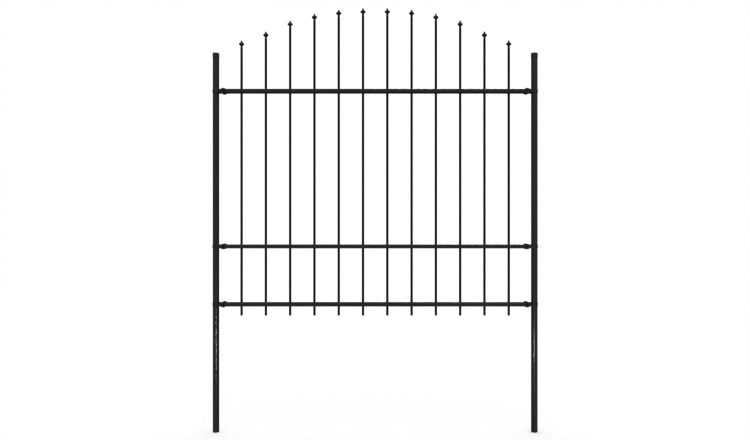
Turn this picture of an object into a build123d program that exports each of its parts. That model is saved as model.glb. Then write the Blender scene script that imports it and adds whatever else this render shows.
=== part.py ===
from build123d import *
import math
import os

# Spear top fence panel, in millimetres: two round posts, three flat-lying rails
# clamped to them, and twelve round pickets that rise in a bell curve.
# The origin is the centre of the left post's foot. +X runs along the panel to the
# right post, +Y to the back of the panel and +Z up.

# Posts, and the caps that slip over them
post_pitch = 1700.0
post_diameter = 32.0
post_wall = 1.5
post_length = 2018.5
cap_clearance = 0.05
cap_wall = 0.8
cap_skirt = 22.0
cap_lid = 2.0
cap_dome = 2.5
cap_corner = 1.8

# Rails: two set by their height above the feet, the third by its drop from the post tops
bottom_rail_height = 680.4
middle_rail_height = 989.4
top_rail_drop = 200.5
rail_depth = 35.0
rail_height = 18.4
rail_wall = 1.5
rail_corner = 1.8
rail_post_gap = 9.8

# Pickets: how far each one's tip stands above the outermost, from the end inwards
picket_rises = (0.0, 48.0, 106.0, 143.0, 164.0, 172.0)
picket_diameter = 10.6
picket_wall = 1.0
picket_end_gap = 136.7
picket_stand = 231.5
picket_foot_drop = 59.0

# Spear heads: heights are measured from the picket's top end
head_base_step = 0.4
head_waist_diameter = 9.0
head_waist_height = 4.0
head_boss_diameter = 13.0
head_blade_diameter = 9.6
head_blade_start = 27.5
head_total_height = 41.0
spigot_length = 14.0
spigot_clearance = 0.1

# The leaf across each spear head, with a round lobe at either side
lobe_height = 20.5
lobe_diameter = 10.4
leaf_width = 26.4
leaf_thickness = 6.5
leaf_edge = 2.0
leaf_root_width = 5.5
web_foot_height = 5.5
web_angle = 62.0
notch_top_height = 31.5
notch_angle = 72.0

# Clamps: a strap round the post whose two ends are oval ears on the rail
strap_thickness = 1.6
strap_height = 18.0
ear_length = 31.0
ear_height = 27.6
ear_post_gap = 26.8
ear_neck_fillet = 3.0

# Clamp screws and nuts
screw_diameter = 6.0
screw_core_diameter = 4.9
screw_head_diameter = 11.0
screw_head_height = 3.3
screw_socket_width = 4.0
screw_socket_depth = 2.0
screw_hole_clearance = 0.3
screw_tail = 2.6
screw_point = 0.6
nut_width = 10.0
nut_face_diameter = 9.5
nut_height = 5.0
nut_bore_chamfer = 0.5

# Worked-out sizes
post_radius = post_diameter / 2
picket_radius = picket_diameter / 2
picket_count = 2 * len(picket_rises)
picket_pitch = (post_pitch - 2 * picket_end_gap) / (picket_count - 1)
picket_bore = picket_radius - picket_wall
rail_heights = {
    "rail_bottom": bottom_rail_height,
    "rail_middle": middle_rail_height,
    "rail_top": post_length - top_rail_drop,
}
picket_foot = bottom_rail_height - picket_foot_drop
rises = picket_rises + picket_rises[::-1]
pickets = [
    (picket_end_gap + i * picket_pitch, rail_heights["rail_top"] + picket_stand + rise)
    for i, rise in enumerate(rises)
]
rail_start = post_radius + rail_post_gap
rail_length = post_pitch - 2 * rail_start
rail_half = rail_depth / 2
ear_offset = post_radius + ear_post_gap
screw_grip = rail_half + strap_thickness
screw_radius = screw_diameter / 2
screw_hole_radius = screw_radius + screw_hole_clearance
post_sides = {"left": (0.0, 1), "right": (post_pitch, -1)}
clamp_axes = [
    (x + inward * ear_offset, z)
    for x, inward in post_sides.values()
    for z in rail_heights.values()
]

os.makedirs("parts", exist_ok=True)


def save(part, name):
    """Label a finished piece and write it under its node name."""
    part.label = name
    export_step(part, f"parts/{name}.step")


def upright_plane(x, z, facing=1):
    """A plane seen from the front at (x, z): its x runs along the panel, its y up."""
    return Plane(origin=(x, 0, z), x_dir=(facing, 0, 0), z_dir=(0, -facing, 0))


def crosswise_plane(x, y, z):
    """A plane square to a clamp screw, facing the back of the panel."""
    return Plane(origin=(x, y, z), x_dir=(1, 0, 0), z_dir=(0, 1, 0))


def make_post(x):
    """A round tube from its foot to the cap's seat."""
    with BuildPart() as post:
        with BuildSketch(Plane((x, 0, 0))):
            Circle(post_radius)
            Circle(post_radius - post_wall, mode=Mode.SUBTRACT)
        extrude(amount=post_length)
    return post.part


def make_post_cap(x):
    """A low domed lid on the post's end, with a thin skirt down its outside."""
    bore = post_radius + cap_clearance
    rim = bore + cap_wall
    with BuildPart() as cap:
        with BuildSketch(upright_plane(x, post_length)) as section:
            with BuildLine():
                Polyline(
                    (0, cap_lid + cap_dome),
                    (0, 0),
                    (bore, 0),
                    (bore, -cap_skirt),
                    (rim, -cap_skirt),
                    (rim, cap_lid),
                )
                TangentArc((0, cap_lid + cap_dome), (rim, cap_lid), tangent=(1, 0))
            make_face()
            fillet(section.vertices().sort_by_distance((rim, cap_lid))[0], cap_corner)
        revolve(axis=Axis((x, 0, 0), (0, 0, 1)))
    return cap.part


def make_rail(z):
    """A flat-lying tube, drilled through for the pickets and for the clamp screws."""
    with BuildPart() as rail:
        with BuildSketch(Plane(origin=(rail_start, 0, z), x_dir=(0, 1, 0), z_dir=(1, 0, 0))):
            RectangleRounded(rail_depth, rail_height, rail_corner)
            RectangleRounded(
                rail_depth - 2 * rail_wall,
                rail_height - 2 * rail_wall,
                rail_corner - rail_wall,
                mode=Mode.SUBTRACT,
            )
        extrude(amount=rail_length)
        with BuildSketch(Plane((post_pitch / 2, 0, z))):
            with GridLocations(picket_pitch, 0, picket_count, 1):
                Circle(picket_radius)
        extrude(amount=rail_height, both=True, mode=Mode.SUBTRACT)
        with BuildSketch(upright_plane(post_pitch / 2, z)):
            with GridLocations(post_pitch - 2 * ear_offset, 0, 2, 1):
                Circle(screw_hole_radius)
        extrude(amount=rail_depth, both=True, mode=Mode.SUBTRACT)
    return rail.part


def make_picket(x, top):
    """A thin round tube through all three rails, open at its foot."""
    with BuildPart() as picket:
        with BuildSketch(Plane((x, 0, picket_foot))):
            Circle(picket_radius)
            Circle(picket_bore, mode=Mode.SUBTRACT)
        extrude(amount=top - picket_foot)
    return picket.part


def make_spear_head(x, top):
    """A cast head: a leaf with a lobe each side, and a turned stem that ends in a lance."""
    lobe_radius = lobe_diameter / 2
    lobe_centre = (leaf_width / 2 - lobe_radius, lobe_height)
    root = leaf_root_width / 2
    base_radius = picket_radius - head_base_step
    waist_radius = head_waist_diameter / 2
    boss_radius = head_boss_diameter / 2
    blade_radius = head_blade_diameter / 2
    spigot_radius = picket_bore - spigot_clearance
    with BuildPart() as head:
        with BuildSketch(upright_plane(x, top)):
            with BuildLine():
                lobe = CenterArc(lobe_centre, lobe_radius, -web_angle, web_angle + notch_angle)
                web = TangentArc(lobe @ 0, (root, web_foot_height), tangent=-(lobe % 0))
                notch = TangentArc(lobe @ 1, (root, notch_top_height), tangent=lobe % 1)
                Polyline(web @ 1, (0, web_foot_height), (0, notch_top_height), notch @ 1)
            make_face()
            mirror(about=Plane.YZ)
        extrude(amount=leaf_thickness / 2, both=True)
        fillet(head.edges().filter_by(GeomType.CIRCLE), leaf_edge)
        with BuildSketch(upright_plane(x, top)):
            with BuildLine():
                Polyline(
                    (0, -spigot_length),
                    (spigot_radius, -spigot_length),
                    (spigot_radius, 0),
                    (base_radius, 0),
                )
                Spline(
                    (base_radius, 0),
                    (waist_radius, head_waist_height),
                    (boss_radius, lobe_height),
                    (blade_radius, head_blade_start),
                    tangents=((0, 1), (0, 1)),
                )
                Bezier(
                    (blade_radius, head_blade_start),
                    (blade_radius, (head_blade_start + head_total_height) / 2),
                    (0, head_total_height),
                )
                Line((0, head_total_height), (0, -spigot_length))
            make_face()
        revolve(axis=Axis((x, 0, 0), (0, 0, 1)))
    return head.part


def strap_outline(grow):
    """The strap's plan outline, grown by an amount: post round, tangents, flat ears."""
    radius = post_radius + grow
    half = rail_half + grow
    bend = rail_start
    reach = ear_offset + ear_length / 2
    corner_angle = math.atan2(half, bend)
    touch = corner_angle + math.acos(radius / math.hypot(bend, half))
    touch_x = radius * math.cos(touch)
    touch_y = radius * math.sin(touch)
    with BuildLine() as outline:
        Polyline((touch_x, touch_y), (bend, half), (reach, half), (reach, -half))
        Polyline((reach, -half), (bend, -half), (touch_x, -touch_y))
        ThreePointArc((touch_x, -touch_y), (-radius, 0), (touch_x, touch_y))
    return outline.line


def make_clamp(x, inward, z):
    """A bent strap: its plan is the bend round the post, its front view has the ears."""
    past_strap = max(rail_half, post_radius) + 2 * strap_thickness
    neck_limit = (strap_height + ear_height) / 4
    with BuildPart() as clamp:
        with BuildSketch(Plane(origin=(x, 0, z), x_dir=(inward, 0, 0), z_dir=(0, 0, 1))):
            add(strap_outline(strap_thickness))
            make_face()
            with BuildSketch(mode=Mode.SUBTRACT):
                add(strap_outline(0))
                make_face()
        extrude(amount=ear_height / 2, both=True)
        with BuildSketch(upright_plane(x, z, inward)) as front:
            with Locations((ear_offset, 0)):
                Rectangle(ear_offset + past_strap, strap_height, align=(Align.MAX, Align.CENTER))
                SlotOverall(ear_length, ear_height)
            inner = front.vertices().filter_by(lambda v: v.X > 0)
            fillet(inner.filter_by(lambda v: abs(v.Y) < neck_limit), ear_neck_fillet)
            with Locations((ear_offset, 0)):
                Circle(screw_hole_radius, mode=Mode.SUBTRACT)
        extrude(amount=past_strap, both=True, mode=Mode.INTERSECT)
    return clamp.part


def make_screw(x, z):
    """A round-headed screw across the clamp: socket at the front, thread core at the back."""
    nut_face = screw_grip + nut_height
    end = nut_face + screw_tail
    core_radius = screw_core_diameter / 2
    head_radius = screw_head_diameter / 2
    crown = -screw_grip - screw_head_height
    with BuildPart() as screw:
        with BuildSketch(Plane(origin=(x, 0, z), x_dir=(1, 0, 0), z_dir=(0, 0, 1))):
            with BuildLine():
                Polyline(
                    (0, crown),
                    (0, end),
                    (core_radius - screw_point, end),
                    (core_radius, end - screw_point),
                    (core_radius, nut_face),
                    (screw_radius, nut_face),
                    (screw_radius, -screw_grip),
                    (head_radius, -screw_grip),
                )
                TangentArc((0, crown), (head_radius, -screw_grip), tangent=(1, 0))
            make_face()
        revolve(axis=Axis((x, 0, z), (0, 1, 0)))
        with BuildSketch(crosswise_plane(x, crown, z)):
            RegularPolygon(screw_socket_width / 2, 6, major_radius=False)
        extrude(amount=screw_socket_depth, mode=Mode.SUBTRACT)
    return screw.part


def make_nut(x, z):
    """A six-sided nut against the back ear, its corners turned down at both ends."""
    corner_radius = nut_width / 2 / math.cos(math.pi / 6)
    with BuildPart() as nut:
        with BuildSketch(crosswise_plane(x, screw_grip, z)):
            Circle(corner_radius)
        extrude(amount=nut_height)
        chamfer(nut.edges().filter_by(GeomType.CIRCLE), corner_radius - nut_face_diameter / 2)
        with BuildSketch(crosswise_plane(x, screw_grip, z)):
            RegularPolygon(nut_width / 2, 6, major_radius=False)
            Circle(screw_radius, mode=Mode.SUBTRACT)
        extrude(amount=nut_height, mode=Mode.INTERSECT)
        mouth = nut.edges().filter_by(GeomType.CIRCLE).sort_by(SortBy.RADIUS)[:2].sort_by(Axis.Y)[-1]
        chamfer(mouth, nut_bore_chamfer)
    return nut.part


for side, (post_x, inward) in post_sides.items():
    save(make_post(post_x), f"post_{side}")
    save(make_post_cap(post_x), f"post_cap_{side}")
    for rail_name, rail_z in rail_heights.items():
        level = rail_name.removeprefix("rail_")
        save(make_clamp(post_x, inward, rail_z), f"clamp_{level}_{side}")

for rail_name, rail_z in rail_heights.items():
    save(make_rail(rail_z), rail_name)

for number, (picket_x, picket_top) in enumerate(pickets, start=1):
    save(make_picket(picket_x, picket_top), f"picket_{number:02d}")
    save(make_spear_head(picket_x, picket_top), f"spear_head_{number:02d}")

save(Compound(children=[make_screw(x, z) for x, z in clamp_axes]), "clamp_screws")
save(Compound(children=[make_nut(x, z) for x, z in clamp_axes]), "clamp_nuts")
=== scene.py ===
"""Looks for the spear top steel fence panel: welds, threads, casting seams, finishes and studio."""

import logging
import math
from dataclasses import dataclass
from enum import Enum
from typing import Any

import bmesh
import bpy
from mathutils import Matrix, Vector, noise


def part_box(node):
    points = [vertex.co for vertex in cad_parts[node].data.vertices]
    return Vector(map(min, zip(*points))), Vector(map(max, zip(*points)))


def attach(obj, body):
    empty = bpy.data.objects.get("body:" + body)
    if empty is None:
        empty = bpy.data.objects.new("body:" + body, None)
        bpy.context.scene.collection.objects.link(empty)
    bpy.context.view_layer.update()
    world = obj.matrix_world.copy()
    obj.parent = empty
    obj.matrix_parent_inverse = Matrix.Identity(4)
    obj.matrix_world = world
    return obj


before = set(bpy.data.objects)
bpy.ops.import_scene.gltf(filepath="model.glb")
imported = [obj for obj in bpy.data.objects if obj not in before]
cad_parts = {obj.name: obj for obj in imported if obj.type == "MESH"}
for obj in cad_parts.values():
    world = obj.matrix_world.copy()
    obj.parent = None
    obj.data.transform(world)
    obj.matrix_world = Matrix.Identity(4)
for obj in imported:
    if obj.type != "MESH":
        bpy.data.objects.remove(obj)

log = logging.getLogger("fence_panel")

BODY = "root"
MM = 0.001
RAILS = ("rail_bottom", "rail_middle", "rail_top")
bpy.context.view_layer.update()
SEED_ALONG = 31.7
SEED_UP = 17.3

Colour = tuple[float, float, float, float]


class Slot(Enum):
    """The record's material slots."""

    POST = "post_paint"
    RAIL = "rail_paint"
    PICKET = "picket_paint"
    HEAD = "spear_head_paint"
    CLAMP = "clamp_paint"
    SCREW = "screw_steel"
    CAP = "cap_plastic"


class Side(Enum):
    """Which face of a rail a weld lies on, as a sign along Z."""

    ABOVE = 1
    BELOW = -1


class Value:
    """A shader socket that takes part in Python sums, each adding its Math node."""

    def __init__(self, kit: "NodeKit", socket: bpy.types.NodeSocket) -> None:
        self.kit = kit
        self.socket = socket

    def _math(self, operation: str, first: Any, second: Any) -> "Value":
        """Add one Math node.

        Args:
            operation: The Math node's operation.
            first: A value, a socket or a number.
            second: A value, a socket or a number.

        Returns:
            The node's result.
        """
        made = self.kit.node("ShaderNodeMath", {"operation": operation}, {0: first, 1: second})
        return Value(self.kit, made.outputs[0])

    def __add__(self, other: Any) -> "Value":
        """Add."""
        return self._math("ADD", self, other)

    __radd__ = __add__

    def __sub__(self, other: Any) -> "Value":
        """Subtract."""
        return self._math("SUBTRACT", self, other)

    def __rsub__(self, other: Any) -> "Value":
        """Subtract this from another."""
        return self._math("SUBTRACT", other, self)

    def __mul__(self, other: Any) -> "Value":
        """Multiply."""
        return self._math("MULTIPLY", self, other)

    __rmul__ = __mul__

    def __pow__(self, other: Any) -> "Value":
        """Raise to a power."""
        return self._math("POWER", self, other)

    def clamped(self) -> "Value":
        """Keep the value between 0 and 1."""
        return self._math("MINIMUM", self._math("MAXIMUM", self, 0.0), 1.0)


class NodeKit:
    """Builds one material's or world's node tree."""

    def __init__(self, tree: bpy.types.NodeTree) -> None:
        """Empty the tree and keep it."""
        self.tree = tree
        tree.nodes.clear()

    def node(
        self,
        kind: str,
        settings: dict[str, Any] | None = None,
        sockets: dict[Any, Any] | None = None,
    ) -> bpy.types.Node:
        """Add a node.

        Args:
            kind: The node's type name.
            settings: Attributes of the node, set before its sockets.
            sockets: Values or links for its inputs, by name or number.

        Returns:
            The new node.
        """
        made = self.tree.nodes.new(kind)
        for name, value in (settings or {}).items():
            setattr(made, name, value)
        for key, value in (sockets or {}).items():
            if isinstance(value, Value):
                value = value.socket
            if isinstance(value, bpy.types.NodeSocket):
                self.tree.links.new(value, made.inputs[key])
            else:
                made.inputs[key].default_value = value
        return made

    def value(self, made: bpy.types.Node, output: Any = 0) -> Value:
        """Wrap one of a node's outputs for sums."""
        return Value(self, made.outputs[output])

    def place(self) -> bpy.types.NodeSocket:
        """Give a point's place on the panel, in metres."""
        return self.node("ShaderNodeTexCoord").outputs["Object"]

    def noise(self, place: Any, scale: float, detail: float = 2.0, roughness: float = 0.5) -> Value:
        """Add a noise texture.

        Args:
            place: The coordinates that it reads.
            scale: Cycles to a metre.
            detail: Octaves of finer noise.
            roughness: How strong the finer octaves are.

        Returns:
            Its strength, about 0.5 on average.
        """
        made = self.node(
            "ShaderNodeTexNoise",
            sockets={"Vector": place, "Scale": scale, "Detail": detail, "Roughness": roughness},
        )
        return self.value(made, "Fac")

    def blend(self, factor: Value, low: Any, high: Any) -> bpy.types.NodeSocket:
        """Blend two colours by a factor.

        Args:
            factor: 0 for the first colour, 1 for the second.
            low: The first colour, or a socket.
            high: The second colour, or a socket.

        Returns:
            The blended colour.
        """
        made = self.node("ShaderNodeMix", {"data_type": "RGBA"}, {0: factor, 6: low, 7: high})
        return made.outputs[2]

    def upward(self) -> Value:
        """Give how far a face points up, from 0 to 1."""
        normal = self.node("ShaderNodeNewGeometry").outputs["Normal"]
        split = self.node("ShaderNodeSeparateXYZ", sockets={0: normal})
        return self.value(split, "Z").clamped()

    def bump(self, height: Value, depth: float) -> bpy.types.NodeSocket:
        """Turn a height into a normal.

        Args:
            height: The surface's height, from 0 to 1.
            depth: The real depth of 1, in metres.

        Returns:
            The bumped normal.
        """
        made = self.node("ShaderNodeBump", sockets={"Height": height, "Distance": depth})
        return made.outputs["Normal"]

    def surface(self, **sockets: Any) -> None:
        """End the tree in one Principled shader with these inputs."""
        named = {
            key.replace("_", " ").title().replace("Ior", "IOR"): value
            for key, value in sockets.items()
        }
        shader = self.node("ShaderNodeBsdfPrincipled", sockets=named)
        self.node("ShaderNodeOutputMaterial", sockets={"Surface": shader.outputs[0]})


def new_kit(name: str) -> tuple[bpy.types.Material, NodeKit]:
    """Make an empty node material.

    Args:
        name: The material's name.
    """
    material = bpy.data.materials.new(name)
    material.use_nodes = True
    return material, NodeKit(material.node_tree)


@dataclass(frozen=True)
class PowderCoat:
    """Satin black powder coat: flecked orange peel, with a trace of dust on what faces up.

    Scales are noise cycles to a metre, and depths are in metres.
    """

    name: str
    colour: Colour = (0.0192, 0.0192, 0.0196, 1.0)
    fleck_gain: float = 1.55
    fleck_peel: float = 0.35
    fleck_start: float = 0.42
    fleck_contrast: float = 4.0
    dusty: Colour = (0.030, 0.0295, 0.0285, 1.0)
    dust_edge: float = 3.0
    dust_least: float = 0.35
    dust_spread: float = 0.9
    dust_roughness: float = 0.12
    specular: float = 0.5
    roughness: float = 0.20
    roughness_spread: float = 0.05
    cloud_scale: float = 7.0
    peel_scale: float = 520.0
    peel_depth: float = 0.08 * MM
    grain_scale: float = 2600.0
    grain_share: float = 0.22
    lump_scale: float = 90.0
    lump_share: float = 0.0

    def material(self) -> bpy.types.Material:
        """Build the coat's material."""
        material, kit = new_kit(self.name)
        place = kit.place()
        cloud = kit.noise(place, self.cloud_scale, 3.0)
        peel = kit.noise(place, self.peel_scale, 1.5, 0.4)
        grain = kit.noise(place, self.grain_scale, 2.0)
        lumps = kit.noise(place, self.lump_scale, 3.0)
        dust = (kit.upward() ** self.dust_edge) * (self.dust_least + cloud * self.dust_spread)
        smoothest = self.roughness - self.roughness_spread * 0.5
        flecks = peel * self.fleck_peel + grain * (1.0 - self.fleck_peel)
        flecks = ((flecks - self.fleck_start) * self.fleck_contrast).clamped()
        light = tuple(part * self.fleck_gain for part in self.colour[:3]) + (1.0,)
        tone = kit.blend(flecks, self.colour, light)
        height = peel + grain * self.grain_share + lumps * self.lump_share
        kit.surface(
            base_color=kit.blend(dust.clamped(), tone, self.dusty),
            specular_ior_level=self.specular,
            roughness=smoothest + cloud * self.roughness_spread + dust * self.dust_roughness,
            normal=kit.bump(height, self.peel_depth),
        )
        return material


@dataclass(frozen=True)
class BlackOxide:
    """Blackened steel of the screws and nuts, rubbed brighter in patches."""

    name: str
    colour: Colour = (0.016, 0.0165, 0.018, 1.0)
    rubbed: Colour = (0.055, 0.054, 0.052, 1.0)
    metallic: float = 0.75
    roughness: float = 0.34
    roughness_spread: float = 0.16
    patch_scale: float = 240.0
    patch_start: float = 0.48
    patch_contrast: float = 4.0
    patch_share: float = 0.5
    mark_scale: float = 1900.0
    mark_depth: float = 0.02 * MM

    def material(self) -> bpy.types.Material:
        """Build the steel's material."""
        material, kit = new_kit(self.name)
        place = kit.place()
        patches = kit.noise(place, self.patch_scale, 3.0, 0.6)
        marks = kit.noise(place, self.mark_scale, 2.0)
        wear = ((patches - self.patch_start) * self.patch_contrast).clamped()
        kit.surface(
            base_color=kit.blend(wear * self.patch_share, self.colour, self.rubbed),
            metallic=self.metallic,
            roughness=self.roughness + marks * self.roughness_spread,
            normal=kit.bump(marks, self.mark_depth),
        )
        return material


@dataclass(frozen=True)
class MouldedPlastic:
    """Fine-grained black plastic of the post caps."""

    name: str
    colour: Colour = (0.023, 0.023, 0.023, 1.0)
    lighter_upward: Colour = (0.034, 0.034, 0.0335, 1.0)
    roughness: float = 0.52
    roughness_spread: float = 0.08
    cloud_scale: float = 60.0
    cell_scale: float = 1500.0
    cell_smoothness: float = 0.6
    cell_depth: float = 0.03 * MM

    def material(self) -> bpy.types.Material:
        """Build the plastic's material."""
        material, kit = new_kit(self.name)
        place = kit.place()
        leather = kit.node(
            "ShaderNodeTexVoronoi",
            {"feature": "SMOOTH_F1"},
            {"Vector": place, "Scale": self.cell_scale, "Smoothness": self.cell_smoothness},
        )
        cells = kit.value(leather, "Distance")
        cloud = kit.noise(place, self.cloud_scale, 2.0)
        kit.surface(
            # Faces that point up are blended toward a lighter grey, in patches of the noise cloud.
            base_color=kit.blend(kit.upward() * cloud, self.colour, self.lighter_upward),
            roughness=self.roughness + cloud * self.roughness_spread,
            normal=kit.bump(cells, self.cell_depth),
        )
        return material


def add_piece(bm: bmesh.types.BMesh, name: str, material: bpy.types.Material) -> None:
    """Turn a finished bmesh into a piece of the panel.

    Args:
        bm: The shape, in metres in the panel's own frame. It is freed.
        name: The piece's name.
        material: Its finish.
    """
    bmesh.ops.recalc_face_normals(bm, faces=bm.faces[:])
    mesh = bpy.data.meshes.new(name)
    bm.to_mesh(mesh)
    bm.free()
    mesh.materials.append(material)
    for face in mesh.polygons:
        face.use_smooth = True
    piece = bpy.data.objects.new(name, mesh)
    bpy.context.scene.collection.objects.link(piece)
    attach(piece, BODY)
    log.info("%s: %d faces", name, len(mesh.polygons))


def middle(node: str) -> Vector:
    """Give the middle of a node's box."""
    low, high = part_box(node)
    return (Vector(low) + Vector(high)) / 2


def numbered(prefix: str) -> list[str]:
    """List the nodes whose names start with a prefix, in order."""
    return sorted(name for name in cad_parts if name.startswith(prefix))


@dataclass
class RailWelds:
    """The weld beads round every picket where it enters and leaves a rail."""

    rail: str
    width: float = 2.4 * MM
    height: float = 2.3 * MM
    sunk: float = 0.35 * MM
    bulge: tuple[tuple[float, float], ...] = (
        (0.08, 0.94),
        (0.34, 0.66),
        (0.62, 0.38),
        (0.90, 0.08),
    )
    steps: int = 72
    ripples: int = 17
    ripple_depth: float = 0.08 * MM
    ripple_lag: float = 2.4
    ripple_lift: float = 0.8
    unevenness: float = 0.6 * MM
    unevenness_scale: float = 210.0
    held: float = 0.05

    def build(self, material: bpy.types.Material) -> None:
        """Build the rail's beads as one piece, in the given finish."""
        low, high = (Vector(corner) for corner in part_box(self.rail))
        bm = bmesh.new()
        for picket in numbered("picket_"):
            centre = middle(picket)
            picket_low, picket_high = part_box(picket)
            radius = (picket_high[0] - picket_low[0]) / 2
            for side in Side:
                level = high.z if side is Side.ABOVE else low.z
                self.bead(bm, Vector((centre.x, centre.y, level)), radius, side)
        add_piece(bm, f"welds_{self.rail}", material)

    def bead(self, bm: bmesh.types.BMesh, seat: Vector, radius: float, side: Side) -> None:
        """Add one ring of weld.

        Args:
            bm: The mesh that it joins.
            seat: Where the picket's axis meets the rail's face.
            radius: The picket's radius.
            side: The face of the rail that it lies on.
        """
        outline = [(radius - self.sunk, -self.sunk), (radius - self.sunk, self.height)]
        outline += [(radius + out * self.width, up * self.height) for out, up in self.bulge]
        outline.append((radius + self.width, -self.sunk))
        ring = [bm.verts.new(seat + Vector((r, 0.0, side.value * h))) for r, h in outline]
        edges = [bm.edges.new((a, b)) for a, b in zip(ring, ring[1:] + ring[:1])]
        before = set(bm.verts)
        bmesh.ops.spin(
            bm,
            geom=ring + edges,
            cent=seat,
            axis=(0.0, 0.0, 1.0),
            angle=2 * math.pi,
            steps=self.steps,
            use_merge=True,
        )
        own_noise = Vector((0.0, 0.0, level_seed(seat)))
        for vert in [v for v in bm.verts if v not in before] + ring:
            out = Vector((vert.co.x - seat.x, vert.co.y - seat.y, 0.0))
            reach = out.length - radius
            if reach > self.held * self.width:
                turn = math.atan2(out.y, out.x)
                lag = self.ripple_lag * (reach / self.width) ** 2
                ripple = self.ripple_depth * math.sin(self.ripples * turn + lag)
                wander = self.unevenness * noise.noise(vert.co * self.unevenness_scale + own_noise)
                vert.co += out.normalized() * (ripple + wander * (reach / self.width))
                vert.co.z += side.value * ripple * self.ripple_lift


def level_seed(seat: Vector) -> float:
    """Give each bead its own stretch of noise, from its place."""
    return SEED_ALONG * seat.x + SEED_UP * seat.z


@dataclass
class ScrewThreads:
    """The thread that shows on the end of each clamp screw, past its nut."""

    pitch: float = 1.0 * MM
    core_radius: float = 2.45 * MM
    crest_radius: float = 2.95 * MM
    half_flank: float = 0.42
    lead_in: float = 0.5
    run_out: float = 0.75
    steps_per_turn: int = 28

    def build(self, material: bpy.types.Material) -> None:
        """Build the threads of all screws as one piece, in the given finish."""
        nuts_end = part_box("clamp_nuts")[1][1]
        screws_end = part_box("clamp_screws")[1][1]
        start = nuts_end - self.pitch * self.lead_in
        turns = (screws_end - start) / self.pitch - self.run_out
        bm = bmesh.new()
        for clamp in (name for name in numbered("clamp_") if name.count("_") == 2):
            self.helix(bm, screw_axis(clamp), start, turns)
        add_piece(bm, "screw_threads", material)

    def helix(self, bm: bmesh.types.BMesh, axis: Vector, start: float, turns: float) -> None:
        """Add one thread.

        Args:
            bm: The mesh that it joins.
            axis: A point on the screw's axis, which runs along Y.
            start: The thread's first place along Y.
            turns: How many turns show.
        """
        centre = Vector((axis.x, start, axis.z))
        outline = (
            (self.core_radius, -self.half_flank),
            (self.crest_radius, 0.0),
            (self.core_radius, self.half_flank),
        )
        profile = [bm.verts.new(centre + Vector((r, y * self.pitch, 0.0))) for r, y in outline]
        face = bm.faces.new(profile)
        steps = max(4, round(turns * self.steps_per_turn))
        swept = bmesh.ops.spin(
            bm,
            geom=[face],
            cent=centre,
            axis=(0.0, 1.0, 0.0),
            dvec=(0.0, turns * self.pitch / steps, 0.0),
            angle=2 * math.pi * turns,
            steps=steps,
        )
        log.debug("thread of %d steps ends in %d elements", steps, len(swept["geom_last"]))


def screw_axis(clamp: str) -> Vector:
    """Find a clamp's screw axis.

    Args:
        clamp: The clamp's node name.

    Returns:
        A point on the axis, halfway through the clamp.
    """
    low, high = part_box("clamp_screws")
    head_radius = middle("clamp_bottom_left").z - low[2]
    on_left = middle(clamp).x < middle("rail_top").x
    x = low[0] + head_radius if on_left else high[0] - head_radius
    return Vector((x, 0.0, middle(clamp).z))


@dataclass
class CastingSeams:
    """The fine raised line that the two halves of the mould leave round each spear head."""

    radius: float = 0.22 * MM
    tip: float = 0.9 * MM
    bevel_resolution: int = 1
    merge_reach: float = 0.0005 * MM
    cut_reach: float = 0.0001 * MM

    def build(self, material: bpy.types.Material) -> None:
        """Build each head's seam as its own piece, in the given finish."""
        for head in numbered("spear_head_"):
            curve = self.outline(head)
            dressed = bpy.context.evaluated_depsgraph_get()
            mesh = bpy.data.meshes.new_from_object(curve.evaluated_get(dressed))
            bpy.data.objects.remove(curve)
            bm = bmesh.new()
            bm.from_mesh(mesh)
            bpy.data.meshes.remove(mesh)
            add_piece(bm, head.replace("spear_head", "casting_seam"), material)

    def outline(self, head: str) -> bpy.types.Object:
        """Cut a head down its middle and make a thin tube along the cut.

        Args:
            head: The spear head's node name.

        Returns:
            The tube, as a curve object.
        """
        low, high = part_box(head)
        top = max(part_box(head.replace("spear_head", "picket"))[1][2], low[2])
        bm = bmesh.new()
        bm.from_mesh(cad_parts[head].data)
        bmesh.ops.remove_doubles(bm, verts=bm.verts[:], dist=self.merge_reach)
        cut = bmesh.ops.bisect_plane(
            bm,
            geom=bm.verts[:] + bm.edges[:] + bm.faces[:],
            dist=self.cut_reach,
            plane_co=(0.0, 0.0, 0.0),
            plane_no=(0.0, 1.0, 0.0),
            clear_inner=True,
            clear_outer=True,
        )
        edges = [e for e in cut["geom_cut"] if isinstance(e, bmesh.types.BMEdge)]
        edges = [e for e in edges if min(v.co.z for v in e.verts) > top + self.radius]
        edges = [e for e in edges if max(v.co.z for v in e.verts) < high[2] - self.tip]
        data = bpy.data.curves.new("seam_path", "CURVE")
        data.dimensions = "3D"
        data.bevel_depth = self.radius
        data.bevel_resolution = self.bevel_resolution
        data.use_fill_caps = True
        for path in chains(edges):
            spline = data.splines.new("POLY")
            spline.points.add(len(path) - 1)
            for point, place in zip(spline.points, path):
                point.co = (*place, 1.0)
        bm.free()
        curve = bpy.data.objects.new("seam_path", data)
        bpy.context.scene.collection.objects.link(curve)
        return curve


def chains(edges: list[bmesh.types.BMEdge]) -> list[list[Vector]]:
    """String loose edges into paths.

    Args:
        edges: Edges that share their end points.

    Returns:
        Each path's points in order.
    """
    left = set(edges)
    paths: list[list[Vector]] = []
    while left:
        here = {edge for edge in left}
        ends = [v for edge in here for v in edge.verts if sum(e in here for e in v.link_edges) == 1]
        vert = ends[0] if ends else next(iter(here)).verts[0]
        path = [vert.co.copy()]
        while True:
            following = [edge for edge in vert.link_edges if edge in left]
            if not following:
                break
            left.discard(following[0])
            vert = following[0].other_vert(vert)
            path.append(vert.co.copy())
        paths.append(path)
    return [path for path in paths if len(path) > 2]


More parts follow.
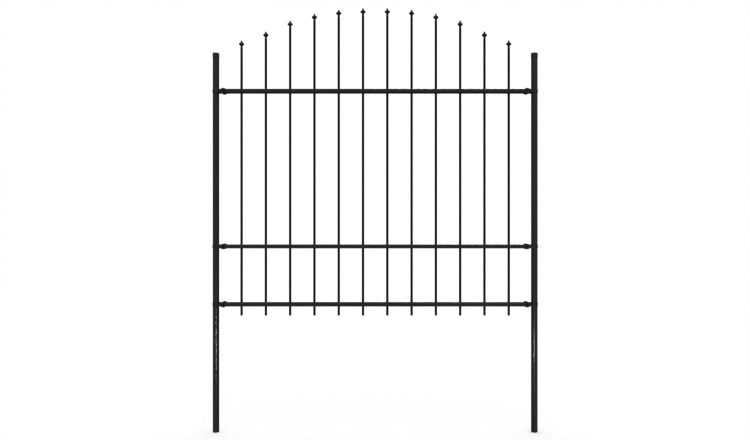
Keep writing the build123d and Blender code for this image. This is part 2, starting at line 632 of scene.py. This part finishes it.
@dataclass
class FencePanel:
    """The whole panel: its finishes on the carried-over nodes, and the pieces that are added."""

    cast_peel: float = 0.09 * MM
    weld_peel: float = 0.10 * MM

    def finishes(self) -> dict[str, bpy.types.Material]:
        """Make the nodes' finishes.

        Returns:
            Each finish by the start of its nodes' names, with a longer start before a shorter.
        """
        oxide = BlackOxide("black_oxide").material()
        return {
            "post_cap": MouldedPlastic("cap_plastic").material(),
            # Painted light: the posts wear a copy of the same black coat made a little lighter than
            # the rails', standing in for light on the posts.
            "post_": PowderCoat(
                "post_coat_painted_light",
                colour=(0.0225, 0.0225, 0.0229, 1.0),
                dusty=(0.034, 0.0335, 0.0325, 1.0),
            ).material(),
            "rail_": PowderCoat("rail_coat").material(),
            # Painted shade: the pickets wear a copy of the same black coat made about six times
            # darker, with a lower specular level, standing in for the shade on their thin round
            # sides.
            "picket_": PowderCoat(
                "picket_coat",
                colour=(0.0034, 0.0034, 0.0036, 1.0),
                dusty=(0.011, 0.0107, 0.0100, 1.0),
                specular=0.36,
                peel_scale=640.0,
            ).material(),
            # Painted shade: the spear heads wear a copy of the same black coat made about three
            # times darker, standing in for shade on the heads.
            "spear_head_": PowderCoat(
                "head_coat_painted_shade",
                colour=(0.0058, 0.0058, 0.0060, 1.0),
                roughness=0.38,
                specular=0.42,
                peel_depth=self.cast_peel,
                lump_share=0.9,
            ).material(),
            "clamp_screws": oxide,
            "clamp_nuts": oxide,
            "clamp_": PowderCoat("clamp_coat", peel_depth=self.cast_peel).material(),
        }

    def dress(self, finishes: dict[str, bpy.types.Material]) -> None:
        """Give every node its finish.

        Args:
            finishes: Each finish by the start of its nodes' names.
        """
        for name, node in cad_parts.items():
            finish = next(made for start, made in finishes.items() if name.startswith(start))
            for slot in node.material_slots:
                slot.material = finish
            log.info("%s wears %s", name, finish.name)

    def build(self) -> None:
        """Make the finishes, dress the nodes and add the pieces."""
        finishes = self.finishes()
        self.dress(finishes)
        weld_coat = PowderCoat(
            "weld_coat",
            roughness=0.42,
            peel_depth=self.weld_peel,
            lump_scale=420.0,
            lump_share=0.8,
        ).material()
        for rail in RAILS:
            RailWelds(rail).build(weld_coat)
        ScrewThreads().build(finishes["clamp_screws"])
        # The seams wear the heads' darker coat, with its painted shade.
        CastingSeams().build(finishes["spear_head_"])


@dataclass(frozen=True)
class SoftPanel:
    """A soft rectangular light, aimed at the middle of the panel.

    Its offset from that middle and its size are in metres, and its power is in watts.
    """

    name: str
    offset: tuple[float, float, float]
    size: tuple[float, float]
    power: float


SOFT_PANELS = (
    SoftPanel("soft_left", (-2.6, -2.0, 4.6), (1.6, 1.0), 130.0),
    SoftPanel("soft_right", (3.0, -1.6, 4.0), (1.2, 0.8), 90.0),
    SoftPanel("soft_behind", (1.2, 2.8, 4.0), (2.0, 1.0), 300.0),
)


@dataclass
class Studio:
    """The pale floor, the room, the soft lights and the camera.

    The room's fill lights the panel, its sheen is what the panel's faces mirror, and its
    backdrop is what the camera sees.
    """

    camera_distance: float = 3.63
    camera_height: float = 1.1304
    camera_shift_right: float = -0.0009
    lens: float = 32.627
    sensor_width: float = 36.0
    floor_size: float = 24.0
    floor_fade: float = 9.0
    floor_fade_width: float = 4.0
    floor_colour: Colour = (0.12, 0.12, 0.12, 1.0)
    floor_glow: float = 0.6
    floor_roughness: float = 0.9
    backdrop: float = 1.0
    fill: float = 1.9
    fill_from_above: float = 0.9
    fill_from_behind: float = 3.0
    fill_from_front: float = 1.4
    sheen: float = 1.9
    sheen_behind: float = 0.15
    sheen_above: float = 2.1
    front_share_beside: float = 0.45
    front_slope: float = 1.2
    above_start: float = 0.5
    above_slope: float = 2.5
    glint_power: float = 100.0
    glint_cone: float = math.radians(24.0)
    glint_edge: float = 0.5
    glint_lamp_radius: float = 0.056
    glint_lamp_distance: float = 2.2
    glint_lamp_height: float = 0.03
    glint_aim_height: float = 0.45
    gamma: float = 0.5

    def build(self) -> None:
        """Set the floor, the room, the lights and the camera."""
        self.floor()
        self.world()
        self.lamps()
        self.camera()

    def floor(self) -> None:
        """Lay a pale floor under the posts' feet, fading out before its edge."""
        bm = bmesh.new()
        bmesh.ops.create_grid(bm, x_segments=1, y_segments=1, size=self.floor_size / 2)
        mesh = bpy.data.meshes.new("studio_floor")
        bm.to_mesh(mesh)
        bm.free()
        mesh.materials.append(self.floor_material())
        floor = bpy.data.objects.new("studio_floor", mesh)
        bpy.context.scene.collection.objects.link(floor)
        floor.visible_glossy = False

    def floor_material(self) -> bpy.types.Material:
        """Build the floor's finish, which glows a little so that its shadows stay faint."""
        material, kit = new_kit("pale_floor")
        pale = kit.node(
            "ShaderNodeBsdfPrincipled",
            sockets={
                "Base Color": self.floor_colour,
                "Roughness": self.floor_roughness,
                "Specular IOR Level": 0.0,
                "Emission Color": (1.0, 1.0, 1.0, 1.0),
                "Emission Strength": self.floor_glow,
            },
        )
        clear = kit.node("ShaderNodeBsdfTransparent")
        reach = kit.node("ShaderNodeVectorMath", {"operation": "LENGTH"}, {0: kit.place()})
        left = self.floor_fade - kit.value(reach, "Value")
        mixed = kit.node(
            "ShaderNodeMixShader",
            sockets={
                0: (left * (1.0 / self.floor_fade_width)).clamped(),
                1: clear.outputs[0],
                2: pale.outputs[0],
            },
        )
        kit.node("ShaderNodeOutputMaterial", sockets={"Surface": mixed.outputs[0]})
        return material

    def world(self) -> None:
        """Surround the panel with a white backdrop and a soft room that is dimmer behind."""
        world = bpy.data.worlds.new("studio_room")
        world.use_nodes = True
        bpy.context.scene.world = world
        kit = NodeKit(world.node_tree)
        path = kit.node("ShaderNodeLightPath")
        seen = kit.value(path, "Is Camera Ray")
        mirrored = kit.value(path, "Is Glossy Ray")
        sky = kit.node("ShaderNodeTexCoord").outputs["Generated"]
        toward = kit.node("ShaderNodeSeparateXYZ", sockets={0: sky})
        back, up = kit.value(toward, "Y"), kit.value(toward, "Z")
        fill = self.fill + up.clamped() * self.fill_from_above
        fill = fill + back.clamped() * self.fill_from_behind
        fill = fill + (0.0 - back).clamped() * self.fill_from_front
        front = (self.front_share_beside - back * self.front_slope).clamped()
        above = ((up - self.above_start) * self.above_slope).clamped()
        level = self.sheen_behind + front * (self.sheen - self.sheen_behind)
        sheen = level + above * (self.sheen_above - level)
        lighting = fill + mirrored * (sheen - fill)
        strength = lighting + seen * (self.backdrop - lighting)
        white = (1.0, 1.0, 1.0, 1.0)
        lit = kit.node("ShaderNodeBackground", sockets={"Color": white, "Strength": strength})
        kit.node("ShaderNodeOutputWorld", sockets={"Surface": lit.outputs[0]})
        bpy.context.scene.view_settings.view_transform = "Standard"
        bpy.context.scene.view_settings.gamma = self.gamma

    def lamps(self) -> None:
        """Stand a small low lamp in front for each post, and hang three soft panels high up."""
        centre = middle("rail_middle")
        low = Vector((centre.x, -self.glint_lamp_distance, self.glint_lamp_height))
        for post in ("post_left", "post_right"):
            aim = Vector((middle(post).x, 0.0, self.glint_aim_height))
            self.hang(f"low_{post}", self.spot(f"low_{post}"), low, aim)
        for panel in SOFT_PANELS:
            data = bpy.data.lights.new(panel.name, "AREA")
            data.shape = "RECTANGLE"
            data.size, data.size_y = panel.size
            data.energy = panel.power
            self.hang(panel.name, data, centre + Vector(panel.offset), centre)

    def spot(self, name: str) -> bpy.types.Light:
        """Make a small narrow lamp, for the low glint on a post."""
        data = bpy.data.lights.new(name, "SPOT")
        data.energy = self.glint_power
        data.spot_size = self.glint_cone
        data.spot_blend = self.glint_edge
        data.shadow_soft_size = self.glint_lamp_radius
        return data

    def hang(self, name: str, data: bpy.types.Light, place: Vector, aim: Vector) -> None:
        """Put a lamp in its place, so that it shows only as highlights.

        Args:
            name: Its name.
            data: The lamp.
            place: Where it stands.
            aim: The point that it faces.
        """
        lamp = bpy.data.objects.new(name, data)
        turn = (aim - place).to_track_quat("-Z", "Y").to_matrix().to_4x4()
        lamp.matrix_world = Matrix.Translation(place) @ turn
        lamp.visible_camera = False
        lamp.visible_diffuse = False
        bpy.context.scene.collection.objects.link(lamp)

    def camera(self) -> None:
        """Stand the camera square in front of the panel, where the photograph was taken."""
        data = bpy.data.cameras.new("camera")
        data.lens = self.lens
        data.sensor_width = self.sensor_width
        camera = bpy.data.objects.new("camera", data)
        across = middle("rail_middle").x + self.camera_shift_right
        camera.location = (across, -self.camera_distance, self.camera_height)
        camera.rotation_euler = (math.radians(90.0), 0.0, 0.0)
        bpy.context.scene.collection.objects.link(camera)
        bpy.context.scene.camera = camera


def main() -> None:
    """Build the panel and its studio."""
    logging.basicConfig(level=logging.INFO, format="%(name)s: %(message)s")
    FencePanel().build()
    Studio().build()


if __name__ == "__main__":
    main()
